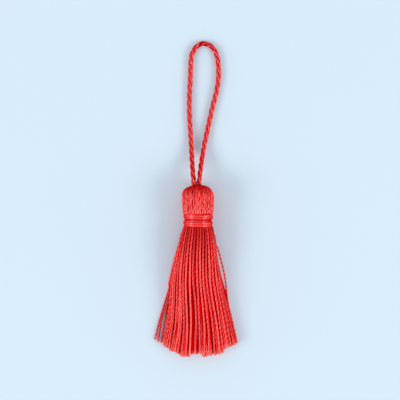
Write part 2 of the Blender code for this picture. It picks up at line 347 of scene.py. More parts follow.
    def _handed_on(self, given: Any, inputs: dict[str, Any]) -> dict[str, bpy.types.NodeSocket]:
        """Those of a tree's own inputs that a group inside it takes."""
        names = [name.replace("_", " ") for name in inputs]
        return {name: given[name] for name in names}

    def _piece_tree(self, name: str, laid: bool) -> bpy.types.NodeTree:
        """The tree for a piece: its threads are spun, made real and given their finish.

        Args:
            name: The tree's name.
            laid: Whether it is a cord, whose yarns are laid round its path before they are spun.

        Returns:
            The tree.
        """
        tree = bpy.data.node_groups.new(name, "GeometryNodeTree")
        make = TreeMaker(tree)
        laying = LAY_INPUTS if laid else {}
        make.sockets("INPUT", Geometry="Geometry", Material="Material", **SPIN_INPUTS, **laying)
        make.sockets("OUTPUT", Geometry="Geometry")
        given = make.given()
        guides = given["Geometry"]
        if laid:
            guides = make.group(
                self.lay, {"Path": guides, **self._handed_on(given, LAY_INPUTS)}
            ).outputs["Guides"]
        spinning = {"Guides": guides, **self._handed_on(given, SPIN_INPUTS)}
        threads = make.group(self.spin, spinning).outputs["Threads"]
        real = make.add("GeometryNodeRealizeInstances", {"Geometry": threads}).outputs["Geometry"]
        dress = {"Geometry": real, "Material": given["Material"]}
        make.give(Geometry=make.add("GeometryNodeSetMaterial", dress).outputs["Geometry"])
        return tree


def new_material(name: str) -> tuple[bpy.types.Material, TreeMaker, bpy.types.Node]:
    """A new material, with the maker of its nodes and its own shader."""
    material = bpy.data.materials.new(name)
    material.use_nodes = True
    return material, TreeMaker(material.node_tree), material.node_tree.nodes["Principled BSDF"]


def put_in_scene(name: str, data: bpy.types.ID) -> bpy.types.Object:
    """A new object that holds a mesh, camera or light, in the scene."""
    thing = bpy.data.objects.new(name, data)
    bpy.context.scene.collection.objects.link(thing)
    return thing


@dataclass(frozen=True)
class SilkFinish:
    """Dyed silky thread: a clear red on the plies' crests, with painted shade that makes it deeper in
    their creases and in the gaps between threads.
    """

    name: str
    crest_colour: Colour
    shaded_crease_colour: Colour
    cut_colour: Colour = (0.95, 0.17, 0.14, 1.0)
    roughness: float = 0.42
    tone_spread: float = 0.20
    streak_depth: float = 0.25
    twist_crease_shade: float = 0.50
    relief: float = 0.006 * MM
    specular: float = 0.02
    gloss: float = 0.90
    gloss_focus: float = 1.3
    edge_gloss: float = 0.15
    edge_range: tuple[float, float] = (0.15, 0.70)
    gloss_roughness: float = 0.27
    gloss_index: float = 2.00

    def build(self, relief_group: bpy.types.NodeTree) -> bpy.types.Material:
        """Make the material.

        Args:
            relief_group: The shared group for colour and relief along a thread.

        Returns:
            The material.
        """
        material, make, shader = new_material(self.name)
        settings = {
            "Crest Colour": self.crest_colour, "Crease Colour": self.shaded_crease_colour,
            "Cut Colour": self.cut_colour, "Tone Spread": self.tone_spread,
            "Streak Depth": self.streak_depth, "Twist Depth": self.twist_crease_shade,
            "Roughness": self.roughness, "Gloss": self.gloss, "Gloss Focus": self.gloss_focus,
        }
        thread = make.group(relief_group, settings).outputs
        facing = make.add("ShaderNodeLayerWeight", {"Blend": 0.5}).outputs["Facing"]
        kept = make.eased(facing, self.edge_range, 1.0, self.edge_gloss)
        raised = {"Height": thread["Height"], "Distance": self.relief, "Strength": 1.0}
        make.feed(
            shader,
            {
                "Base Color": thread["Colour"], "Roughness": thread["Roughness"],
                "Specular IOR Level": self.specular,
                "Coat Weight": make.times(thread["Gloss"], kept),
                "Coat Roughness": self.gloss_roughness, "Coat IOR": self.gloss_index,
                "Normal": make.add("ShaderNodeBump", raised).outputs["Normal"],
            },
        )
        return material


@dataclass(frozen=True)
class ThreadRelief:
    """The shared effect of a silky thread: its colour, gloss and fine relief along the fibres, with
    painted shade that deepens the colour and fades the gloss in the plies' creases and in the gaps
    between threads.

    crease_range is of the height across a ply, and sunk_range of the depth between threads.
    """

    fibre_draw: float = 0.16
    fibre_scale: float = 5.5
    fibre_detail: float = 2.0
    crease_range: tuple[float, float] = (0.12, 0.80)
    sunk_range: tuple[float, float] = (0.04, 0.80)
    cut_share: float = 0.6
    roughness_spread: float = 0.25
    middle_gloss: float = 0.75
    gloss_spread: float = 0.25

    def build(self) -> bpy.types.NodeTree:
        """Make the shader group.

        Returns:
            A group that reads the threads' crest, sunk, tone, fray and fibre attributes.
        """
        tree = bpy.data.node_groups.new("thread_relief", "ShaderNodeTree")
        make = TreeMaker(tree)
        make.sockets(
            "INPUT", Crest_Colour="Color", Crease_Colour="Color", Cut_Colour="Color",
            Tone_Spread=("Float", 0.1), Streak_Depth=("Float", 0.2), Twist_Depth=("Float", 0.8),
            Roughness=("Float", 0.4), Gloss=("Float", 1.0), Gloss_Focus=("Float", 1.3),
        )
        make.sockets("OUTPUT", Colour="Color", Roughness="Float", Gloss="Float", Height="Float")
        given = make.given()
        crest, sunk, tone, fray = (
            make.add("ShaderNodeAttribute", attribute_name=name).outputs["Fac"]
            for name in ("crest", "sunk", "tone", "fray")
        )
        fibre = make.add("ShaderNodeAttribute", attribute_name="fibre").outputs["Vector"]
        stretch = {"Vector": fibre, "Scale": (1.0, 1.0, self.fibre_draw)}
        drawn = make.add("ShaderNodeMapping", stretch, vector_type="POINT").outputs["Vector"]
        grain = {"Vector": drawn, "Scale": self.fibre_scale, "Detail": self.fibre_detail}
        strand = make.add("ShaderNodeTexNoise", grain).outputs["Fac"]
        # Painted shade: in the plies' creases and in the gaps between threads (sunk) the colour moves to
        # the shaded crease colour and the gloss fades.
        creased = make.minus(1.0, make.eased(crest, self.crease_range))
        lowered = make.times(creased, given["Twist Depth"])
        reached = make.eased(sunk, self.sunk_range, 1.0, 0.0)
        exposed = make.times(reached, make.minus(1.0, lowered))
        centred = make.minus(strand, 0.5)
        streak = make.times(centred, given["Streak Depth"])
        # The tone attribute holds each thread's random tone plus the painted shade that the pieces add;
        # it darkens the colour and lowers the gloss.
        shade = make.times(tone, given["Tone Spread"])
        value = make.plus(make.plus(1.0, streak), shade)
        ply = make.mixed(exposed, given["Crease Colour"], given["Crest Colour"])
        dye_with_painted_shade = make.add("ShaderNodeHueSaturation", {"Color": ply, "Value": value}).outputs["Color"]
        cut = make.times(fray, self.cut_share)
        rougher = make.times(centred, self.roughness_spread)
        own = make.plus(self.middle_gloss, make.times(tone, self.gloss_spread))
        focused = make.math("POWER", exposed, given["Gloss Focus"])
        gloss = make.times(focused, make.times(own, given["Gloss"]))
        make.give(
            Colour=make.mixed(cut, dye_with_painted_shade, given["Cut Colour"]),
            Roughness=make.plus(given["Roughness"], rougher),
            Gloss=make.math("MINIMUM", gloss, 1.0),
            Height=strand,
        )
        return tree


@dataclass(frozen=True)
class SurfaceFinish:
    """Smooth pale blue card, with a faint unevenness in its tone."""

    name: str = "pale_blue_card"
    colour: Colour = (0.648, 0.784, 0.908, 1.0)
    deeper: Colour = (0.633, 0.769, 0.896, 1.0)
    roughness: float = 0.75
    specular: float = 0.2
    mottle_scale: float = 9.0
    mottle_detail: float = 3.0

    def build(self) -> bpy.types.Material:
        """Make the material.

        Returns:
            The material.
        """
        material, make, shader = new_material(self.name)
        place = make.add("ShaderNodeTexCoord").outputs["Object"]
        grain = {"Vector": place, "Scale": self.mottle_scale, "Detail": self.mottle_detail}
        mottle = make.add("ShaderNodeTexNoise", grain).outputs["Fac"]
        make.feed(
            shader,
            {
                "Base Color": make.mixed(mottle, self.colour, self.deeper),
                "Roughness": self.roughness, "Specular IOR Level": self.specular,
            },
        )
        return material


@dataclass(frozen=True)
class Yarn:
    """How a thread is spun: its thickness, its plies and the turn that they take."""

    diameter: float
    plies: int
    lay: float
    twist: Twist
    ply_reach: float
    steps_a_turn: int
    points_round: int
    seed: int

    def inputs(self) -> dict[str, Any]:
        """The values that the spinning tree takes, by the names of its inputs."""
        return {
            "Plies": self.plies,
            "Radius": self.diameter / 2,
            "Lay": self.lay * self.twist.value,
            "Step": self.lay / self.steps_a_turn,
            "Points Round": self.points_round,
            "Ply Reach": self.ply_reach,
            "Seed": self.seed,
        }


class Guide(NamedTuple):
    """The middle line of one thread, and its thickness, tone and fraying at each point."""

    points: list[Vector]
    thickness: list[float]
    tone: list[float]
    fray: list[float]

    @classmethod
    def even(cls, points: list[Vector], thickness: float = 1.0, tone: float = 0.0) -> "Guide":
        """A guide with one thickness and tone all along, and no fraying."""
        count = len(points)
        return cls(points, [thickness] * count, [tone] * count, [0.0] * count)


def edges_from_guides(name: str, guides: Sequence[Guide]) -> bpy.types.Mesh:
    """Join the guides' points into edges that carry their thickness, tone and fraying.

    Args:
        name: The mesh's name.
        guides: The threads' middle lines.

    Returns:
        A mesh of edges alone.
    """
    points: list[Vector] = []
    edges: list[tuple[int, int]] = []
    values: dict[str, list[float]] = {"thickness": [], "tone": [], "fray": []}
    for guide in guides:
        first = len(points)
        points += guide.points
        edges += [(first + step, first + step + 1) for step in range(len(guide.points) - 1)]
        values["thickness"] += guide.thickness
        values["tone"] += guide.tone
        values["fray"] += guide.fray
    mesh = bpy.data.meshes.new(name)
    mesh.from_pydata([tuple(point) for point in points], edges, [])
    for label, numbers in values.items():
        mesh.attributes.new(label, "FLOAT", "POINT").data.foreach_set("value", numbers)
    return mesh


def spin_piece(
    name: str, tree: bpy.types.NodeTree, guides: Sequence[Guide], yarn: Yarn,
    finish: bpy.types.Material, **laying: Any,
) -> bpy.types.Object:
    """Spin threads on guides and keep the result as one plain mesh.

    Args:
        name: The piece's name.
        tree: The tree for threads or for a cord.
        guides: The middle lines that it follows.
        yarn: How its threads are spun.
        finish: Their material.
        laying: A cord's other values. An underscore in a name stands for a space.

    Returns:
        The finished piece, in the scene.
    """
    inputs = {**yarn.inputs(), "Material": finish}
    inputs.update((key.replace("_", " "), value) for key, value in laying.items())
    carrier = put_in_scene(f"{name}_guides", edges_from_guides(name, guides))
    modifier = carrier.modifiers.new("spin", "NODES")
    modifier.node_group = tree
    for item in tree.interface.items_tree:
        if item.in_out == "INPUT" and item.name in inputs:
            modifier[item.identifier] = inputs[item.name]
    bpy.context.view_layer.update()
    depsgraph = bpy.context.evaluated_depsgraph_get()
    mesh = bpy.data.meshes.new_from_object(carrier.evaluated_get(depsgraph))
    bpy.data.objects.remove(carrier, do_unlink=True)
    mesh.name = name
    for label in ("thickness", "turn", "bearing", "along"):
        if label in mesh.attributes:
            mesh.attributes.remove(mesh.attributes[label])
    return put_in_scene(name, mesh)


@dataclass(frozen=True)
class Crevices:
    """Finds how deep each point lies between the threads round it, from above and from below, as the mask
    of the painted shade in the gaps.

    across is the axis that the threads lie side by side along: 0 for X and 1 for Y.
    """

    across: int = 0
    cell: float = 0.12 * MM
    cell_along: float = 0.36 * MM
    half_window: int = 5
    full_depth: float = 0.36 * MM
    below_all: float = 1.0 * MM

    def closed(self, heights: np.ndarray) -> np.ndarray:
        """The heights with every dip filled that is narrower than the window.

        Args:
            heights: The highest point of each cell, in rows across the threads.

        Returns:
            Heights widened and then narrowed again by half the window.
        """
        wide = heights.copy()
        for shift in range(1, self.half_window + 1):
            wide[shift:] = np.maximum(wide[shift:], heights[:-shift])
            wide[:-shift] = np.maximum(wide[:-shift], heights[shift:])
        narrow = wide.copy()
        for shift in range(1, self.half_window + 1):
            narrow[shift:] = np.minimum(narrow[shift:], wide[:-shift])
            narrow[:-shift] = np.minimum(narrow[:-shift], wide[shift:])
        return narrow

    def depth_below(self, spots: np.ndarray, heights: np.ndarray) -> np.ndarray:
        """How far each point lies below the closed surface of all the points.

        Args:
            spots: Each point's place across and along the threads.
            heights: Each point's height.

        Returns:
            The depths, square to the surface.
        """
        margin = self.half_window + 2
        steps = np.array([self.cell, self.cell_along])
        cells = np.floor((spots - spots.min(axis=0)) / steps).astype(int) + margin
        surface = np.full(cells.max(axis=0) + margin + 1, heights.min() - self.below_all)
        np.maximum.at(surface, (cells[:, 0], cells[:, 1]), heights)
        surface = self.closed(surface)
        slope = np.gradient(surface, self.cell, axis=0)
        smooth = slope.copy()
        for shift in range(1, self.half_window):
            smooth += np.roll(slope, shift, axis=0) + np.roll(slope, -shift, axis=0)
        smooth /= 2 * self.half_window - 1
        square = np.sqrt(1.0 + smooth**2)
        return (surface[cells[:, 0], cells[:, 1]] - heights) / square[cells[:, 0], cells[:, 1]]

    def mark(self, pieces: Sequence[bpy.types.Object]) -> None:
        """Store on the pieces how sunk each point is, from 0 on a crest to 1 deep in a gap, for the
        threads' painted shade.
        """
        places = []
        for piece in pieces:
            flat = np.zeros(3 * len(piece.data.vertices))
            piece.data.vertices.foreach_get("co", flat)
            places.append(flat.reshape(-1, 3))
        joined = np.concatenate(places)
        spots = joined[:, [self.across, 1 - self.across]]
        above = self.depth_below(spots, joined[:, 2])
        below = self.depth_below(spots, -joined[:, 2])
        sunk = np.clip(np.minimum(above, below) / self.full_depth, 0.0, 1.0)
        first = 0
        for piece, own in zip(pieces, places):
            layer = piece.data.attributes.new("sunk", "FLOAT", "POINT")
            layer.data.foreach_set("value", sunk[first:first + len(own)].astype(np.float32))
            first += len(own)


def settle_in_frame(
    pieces: Sequence[bpy.types.Object], node: str, crevices: Crevices
) -> None:
    """Mark the gaps between threads, and let each piece ride and stand for its node.

    Args:
        pieces: The pieces that lie together.
        node: The node that they stand for.
        crevices: What finds the gaps.
    """
    crevices.mark(pieces)
    for piece in pieces:
        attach(piece, BODY)
        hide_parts(node)
        piece.data.calc_loop_triangles()
        LOG.info("%s: %d triangles, for %s", piece.name, len(piece.data.loop_triangles), node)


def ramp(value: float, start: float, end: float) -> float:
    """0 at start, 1 at end, straight between them and level outside."""
    return min(1.0, max(0.0, (value - start) / (end - start)))


def wave(*place: float) -> float:
    """Smooth noise between about -1 and 1 at a place in two or three directions."""
    return noise.noise(Vector((*place, 0.0)[:3]))


class Sway(NamedTuple):
    """How threads wander, each in its own way: how far, and over what length.

    spread, start and part pick the piece of noise that each thread follows.
    """

    reach: float
    pitch: float
    spread: float
    part: float
    start: float = 0.0

    def at(self, number: int, along: float, share: float = 1.0) -> float:
        """How far a thread has wandered at a distance along it, as a share of its reach."""
        place = (number * self.spread + self.start, along / self.pitch, self.part)
        return share * self.reach * wave(*place)


@dataclass
class HangingLoop:
    """The three-yarn cord, whose two legs leave the head and come down to the surface."""

    works: ThreadWorks
    finish: bpy.types.Material
    diameter: float = 1.4 * MM
    length: float = 90.5 * MM
    yarns: int = 3
    from_middle: float = 0.372 * MM
    cord_lay: float = 7.1 * MM
    cord_twist: Twist = Twist.S_LAY
    steps_a_lay: int = 20
    crevices: Crevices = Crevices(full_depth=0.11 * MM)
    yarn: Yarn = Yarn(0.73 * MM, 8, 6.0 * MM, Twist.Z_LAY, 0.60, 24, 32, 4)
    route: tuple[tuple[float, float, float], ...] = (
        # millimetres, from the left leg inside the head round to the right leg
        (-0.57, 24.35, 4.50), (-0.58, 25.60, 4.46), (-0.74, 27.00, 4.24), (-0.93, 29.20, 3.52),
        (-1.10, 32.00, 2.36), (-1.28, 35.40, 1.32), (-1.50, 39.40, 0.82), (-1.76, 43.60, 0.72),
        (-1.88, 47.70, 0.72), (-1.80, 51.70, 0.72), (-1.62, 55.20, 0.72), (-1.52, 58.10, 0.72),
        (-1.46, 60.50, 0.72), (-1.20, 62.50, 0.72), (-0.54, 64.15, 0.72), (0.60, 65.45, 0.72),
        (2.22, 66.00, 0.72), (3.88, 65.60, 0.72), (5.15, 64.50, 0.72), (5.98, 62.90, 0.72),
        (6.44, 61.00, 0.72), (6.62, 58.70, 0.72), (6.62, 56.40, 0.72), (6.38, 54.00, 0.72),
        (5.94, 51.70, 0.72), (5.36, 49.30, 0.72), (4.70, 46.80, 0.72), (4.06, 43.90, 0.72),
        (3.42, 41.00, 0.78), (2.82, 38.10, 0.98), (2.26, 35.20, 1.42), (1.80, 32.60, 2.16),
        (1.48, 30.30, 3.06), (1.24, 28.20, 3.88), (1.07, 26.60, 4.32), (1.01, 25.40, 4.47),
        (1.01, 24.35, 4.50),
    )

    def build(self) -> None:
        path = [Vector(point) * MM for point in self.route]
        piece = spin_piece(
            "hanging_loop_cord", self.works.cord_tree, [Guide.even(path)], self.yarn, self.finish,
            Yarns=self.yarns, From_Middle=self.from_middle,
            Cord_Lay=self.cord_lay * self.cord_twist.value, Cord_Step=self.cord_lay / self.steps_a_lay,
        )
        settle_in_frame([piece], "hanging_loop", self.crevices)


@dataclass
class Head:
    """The fold of the hank: threads that rise from the dimple, over the dome and down the neck."""

    works: ThreadWorks
    finish: bpy.types.Material
    marks: Landmarks
    radius: float = 4.6 * MM
    dome_depth: float = 3.6 * MM
    dome_power: float = 2.25
    dome_lean: float = 0.065
    waist_depth: float = 5.6 * MM
    waist_drop: float = 0.32 * MM
    foot_depth: float = 8.55 * MM
    above_foot: float = 0.25 * MM
    neck_radius: float = 3.45 * MM
    neck_line: tuple[tuple[float, float], ...] = (
        # millimetres: depth below the head's top, and how far outside neck_radius
        (8.80, 0.30), (9.35, 0.00), (12.20, -0.10),
    )
    neck_sink: float = 0.5
    dimple_x: float = 0.22 * MM
    dimple_radius: float = 1.45 * MM
    dimple_depth: float = 1.6 * MM
    dimple_line: tuple[tuple[float, float, float], ...] = (
        # shares of the dimple's depth and radius, and of the sink that is added to the depth
        (1.00, 0.55, 0.0), (0.62, 0.68, 0.0), (0.30, 0.84, 0.4),
    )
    dome_steps: int = 9
    dome_shoulder: float = 0.8
    dome_sink: float = 0.9
    side_steps: int = 8
    outer_threads: int = 46
    inner_threads: int = 42
    inner_sink: float = 0.34 * MM
    inner_seeds: int = 100
    tone_scatter: float = 0.9
    under_layer_painted_shade: float = 1.2
    loosens: tuple[float, float] = (0.4 * MM, 2.4 * MM)
    gathers_from: float = 7.4 * MM
    gathered: float = 0.8
    sway: float = 0.30 * MM
    sway_round: float = 3.2
    sway_pitch: float = 2.6 * MM
    own_sway: Sway = Sway(0.15 * MM, 1.5 * MM, 3.7, 5.0)
    rise: Sway = Sway(0.16 * MM, 2.2 * MM, 5.3, 9.0, 40.0)
    lean_from: float = 1.0 * MM
    least_thickness: float = 0.40
    overlap: float = 1.25
    crown_painted_shade: float = 1.2
    crown_from: float = 0.8 * MM
    crevices: Crevices = Crevices(full_depth=0.15 * MM)
    saddle_places: tuple[float, ...] = (-0.05 * MM, 0.25 * MM, 0.50 * MM)
    saddle_height: float = 2.15 * MM
    saddle_depth: float = 1.3 * MM
    saddle_steps: int = 8
    saddle_thickness: float = 0.8
    saddle_painted_shade: float = -1.5
    outer_yarn: Yarn = Yarn(0.66 * MM, 2, 4.2 * MM, Twist.Z_LAY, 0.18, 22, 14, 21)
    inner_yarn: Yarn = Yarn(0.66 * MM, 2, 4.2 * MM, Twist.Z_LAY, 0.18, 15, 8, 22)

    def surface_radius(self, depth: float) -> float:
        """Radius of the head's outside at a depth below its top."""
        if depth < self.dome_depth:
            rise = 1.0 - max(0.0, depth) / self.dome_depth
            return self.radius * (1.0 - rise**self.dome_power) ** (1.0 / self.dome_power)
        drawn_in = ramp(depth, self.waist_depth, self.foot_depth)
        return self.radius - self.waist_drop * drawn_in**2

    def meridian(self, sink: float) -> list[tuple[float, float]]:
        """Depth and radius of a thread's middle from the dimple to inside the neck.

        Args:
            sink: How far below the head's outside the middle runs.

        Returns:
            Pairs of a depth below the head's top and a radius from its axis.
        """
        line = [
            (deep * self.dimple_depth + added * sink, wide * self.dimple_radius)
            for deep, wide, added in self.dimple_line
        ]
        first = math.asin((self.dimple_radius / self.radius) ** (self.dome_power / 2))
        for step in range(self.dome_steps + 1):
            angle = first + (math.pi / 2 - first) * step / self.dome_steps
            depth = self.dome_depth * (1.0 - math.cos(angle) ** (2 / self.dome_power))
            radius = self.radius * math.sin(angle) ** (2 / self.dome_power)
            slope = ramp(depth, 0.0, self.dome_shoulder * self.dome_depth)
            deeper = sink * math.sqrt(1 - slope**2) * self.dome_sink
            line.append((depth + deeper, radius - sink * slope))
        side = self.foot_depth - self.above_foot - self.dome_depth
        for step in range(1, self.side_steps + 1):
            depth = self.dome_depth + side * step / self.side_steps
            line.append((depth, self.surface_radius(depth) - sink))
        for deep, outside in self.neck_line:
            line.append((deep * MM, self.neck_radius + outside * MM - self.neck_sink * sink))
        return line

    def thread(self, bearing: float, sink: float, number: int, yarn: Yarn) -> Guide:
        """The guide of one thread over the head.

        Args:
            bearing: The thread's place round the head, 0 on the underside.
            sink: How far below the head's outside its middle runs.
            number: The thread's number, for its own sway.
            yarn: How it is spun.

        Returns:
            The thread's guide.
        """
        own_tone = self.tone_scatter * random.Random(number).uniform(-1.0, 1.0)
        # Painted shade: the head's under layer is made darker.
        own_tone -= self.under_layer_painted_shade * (sink > yarn.diameter)
        across, upward = math.cos(bearing) * self.sway_round, math.sin(bearing) * self.sway_round
        points, thickness, tones = [], [], []
        for depth, radius in self.meridian(sink):
            held = self.gathered * ramp(depth, self.gathers_from, self.foot_depth)
            loose = ramp(depth, *self.loosens) * (1 - held)
            together = self.sway * wave(across + sink / MM, upward, depth / self.sway_pitch)
            shift = (together + self.own_sway.at(number, depth)) * loose
            angle = bearing + shift / max(radius, self.dimple_radius)
            reach = radius + self.rise.at(number, depth) * loose
            centred = ramp(depth, 0.0, self.dome_depth)
            centre_x = self.dimple_x + (self.marks.axis_x - self.dimple_x) * centred
            x = reach * math.sin(angle)
            z = self.marks.axis_z - reach * math.cos(angle)
            lean = self.dome_lean * x * (1.0 - ramp(depth, self.lean_from, self.dome_depth))
            crowded = 2 * math.pi * radius / self.outer_threads / yarn.diameter
            thick = min(1.0, max(self.least_thickness, self.overlap * crowded))
            floor = yarn.diameter * thick / 2
            points.append(Vector((centre_x + x, self.marks.head_top_y - depth + lean, max(z, floor))))
            thickness.append(thick)
            # Painted shade: the tone falls over the dome's top.
            crown = 1.0 - ramp(depth, self.crown_from, self.dome_depth)
            tones.append(own_tone - self.crown_painted_shade * crown)
        return Guide(points, thickness, tones, [0.0] * len(points))

    def saddle(self, x: float) -> Guide:
        """The guide of one thread that crosses the fold between the loop's legs.

        Args:
            x: Where it crosses, in metres.

        Returns:
            An arch from the front of the dimple to its back.
        """
        points = []
        for step in range(self.saddle_steps + 1):
            angle = math.pi * step / self.saddle_steps
            y = self.marks.head_top_y - self.dimple_depth + self.saddle_height * math.sin(angle)
            points.append(Vector((x, y, self.marks.axis_z + self.saddle_depth * math.cos(angle))))
        # A low tone: painted shade on the threads that cross between the loop's legs.
        return Guide.even(points, self.saddle_thickness, self.saddle_painted_shade)

    def build(self) -> None:
        """Spin the head's two layers, and the few threads that cross the fold."""
        half = self.outer_yarn.diameter / 2
        outer = [
            self.thread(math.tau * number / self.outer_threads, half, number, self.outer_yarn)
            for number in range(self.outer_threads)
        ]
        inner = [
            self.thread(
                math.tau * (number + 0.5) / self.inner_threads, half + self.inner_sink,
                self.inner_seeds + number, self.inner_yarn,
            )
            for number in range(self.inner_threads)
        ]
        inner += [self.saddle(x) for x in self.saddle_places]
        pieces = [
            spin_piece(name, self.works.thread_tree, guides, yarn, self.finish)
            for name, guides, yarn in (
                ("head_threads", outer, self.outer_yarn), ("head_threads_under", inner, self.inner_yarn)
            )
        ]
        settle_in_frame(pieces, "head_and_skirt", self.crevices)


@dataclass
class NeckBinding:
    """The thread wound round the neck: four turns, a notch, and three more that draw in."""

    works: ThreadWorks
    finish: bpy.types.Material
    marks: Landmarks
    height: float = 3.74 * MM
    raised: float = 0.15 * MM
    slant: float = math.radians(-1.4)
    outer_radii: tuple[float, ...] = (4.36, 4.32, 4.12, 3.82, 4.36, 4.24, 3.94)
    notch_after: int = 4
    notch_gap: float = 0.04 * MM
    steps_a_turn: int = 40
    end_turns: float = 0.65
    tucked_from: float = 0.15
    tuck_depth: float = 0.30 * MM
    shiver: float = 0.05 * MM
    shiver_outward: tuple[float, float] = (0.11, 3.0)
    shiver_along: tuple[float, float] = (0.13, 8.0)
    crevices: Crevices = Crevices(across=1, full_depth=0.7 * MM)
    yarn: Yarn = Yarn(0.66 * MM, 3, 15.0 * MM, Twist.Z_LAY, 0.12, 60, 18, 31)

    def shiver_at(self, step: int, rate: float, part: float) -> float:
        """The thread's small unevenness, by the rate and the part of the noise that it follows."""
        return self.shiver * wave(step * rate, part)

    def path(self) -> list[Vector]:
        """The thread's middle line, tucked in where it starts and ends.

        Returns:
            Points in metres.
        """
        last = len(self.outer_radii) - 1
        pitch = (self.height - self.notch_gap - self.yarn.diameter) / last
        lean = Matrix.Rotation(self.slant, 3, "Z")
        middle = Vector((self.marks.axis_x, self.marks.binding_y + self.raised, self.marks.axis_z))
        points = []
        for step in range(round((last + 2 * self.end_turns) * self.steps_a_turn) + 1):
            turned = step / self.steps_a_turn - self.end_turns
            place = min(float(last), max(0.0, turned))
            outer = float(np.interp(place, range(last + 1), self.outer_radii)) * MM
            tucked = ramp(max(-turned, turned - last), self.tucked_from, self.end_turns)
            radius = outer - self.yarn.diameter / 2 - self.tuck_depth * tucked
            radius += self.shiver_at(step, *self.shiver_outward)
            notched = ramp(turned, self.notch_after - 1.0, self.notch_after - 0.5)
            drop = pitch * place + self.notch_gap * notched + self.shiver_at(step, *self.shiver_along)
            angle = math.tau * turned
            along = self.height / 2 - self.yarn.diameter / 2 - drop
            spot = Vector((radius * math.sin(angle), along, -radius * math.cos(angle)))
            points.append(middle + lean @ spot)
        return points

    def build(self) -> None:
        """Wind the binding."""
        guides = [Guide.even(self.path())]
        piece = spin_piece(
            "neck_binding_thread", self.works.thread_tree, guides, self.yarn, self.finish
        )
        settle_in_frame([piece], "neck_binding", self.crevices)


class Section(NamedTuple):
    """One section across the skirt's bundle, at a distance below the foot of the neck."""

    along: float
    left: float
    right: float
    round_radius: float
    settled: float
    mound: float
    thickness: float


class Layer(NamedTuple):
    """One layer of the skirt: its threads, its share of the width, its level and its piece."""

    threads: int
    width: float
    level: float
    piece: str


